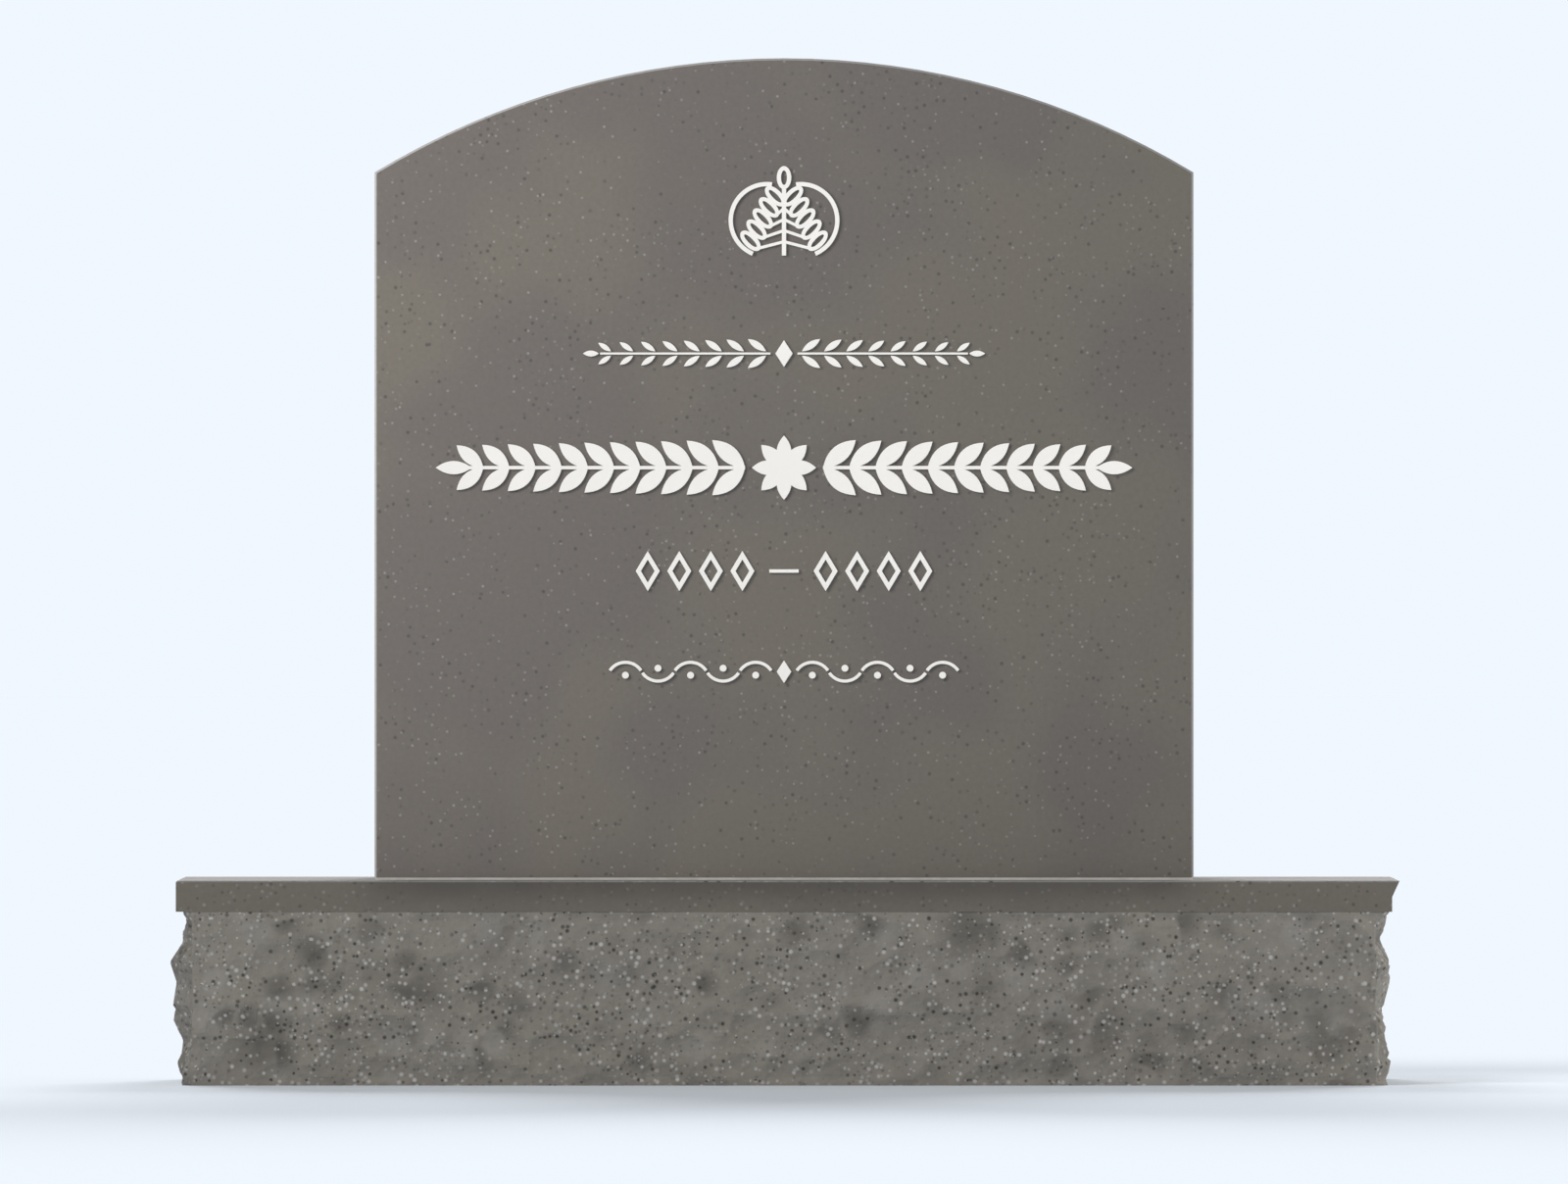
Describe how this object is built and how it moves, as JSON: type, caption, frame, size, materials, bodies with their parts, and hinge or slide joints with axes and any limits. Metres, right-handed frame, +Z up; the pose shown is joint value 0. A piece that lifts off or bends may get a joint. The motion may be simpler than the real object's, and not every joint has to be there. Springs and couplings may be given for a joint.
{
  "type": "curved top headstone",
  "caption": "Upright granite headstone: polished tablet with a low arched top and raised white ornament, set on a rock-pitched base with a smooth top margin.",
  "frame": {"origin": "centre of the base's underside, on the ground", "axes": "+Z up, +X to the right along the base's long side, -Y towards the viewer of the ornamented face"},
  "size_m": [0.914, 0.305, 0.764],
  "materials": {
    "polished_granite": "satin",
    "rock_granite": "matte",
    "setting_compound": "matte",
    "white_enamel": "satin"
  },
  "bodies": {
    "root": {"base": "rock_granite", "setting_bed": "setting_compound", "tablet": "polished_granite", "emblem_stem": "white_enamel", "emblem_left": "white_enamel", "emblem_right": "white_enamel", "upper_lozenge": "white_enamel", "upper_spray_left": "white_enamel", "upper_spray_right": "white_enamel", "garland_rosette": "white_enamel", "garland_left": "white_enamel", "garland_right": "white_enamel", "centre_rule": "white_enamel", "lozenges_left": "white_enamel", "lozenges_right": "white_enamel", "lower_lozenge": "white_enamel", "lower_scroll_left": "white_enamel", "lower_scroll_right": "white_enamel"}
  },
  "joints": []
}
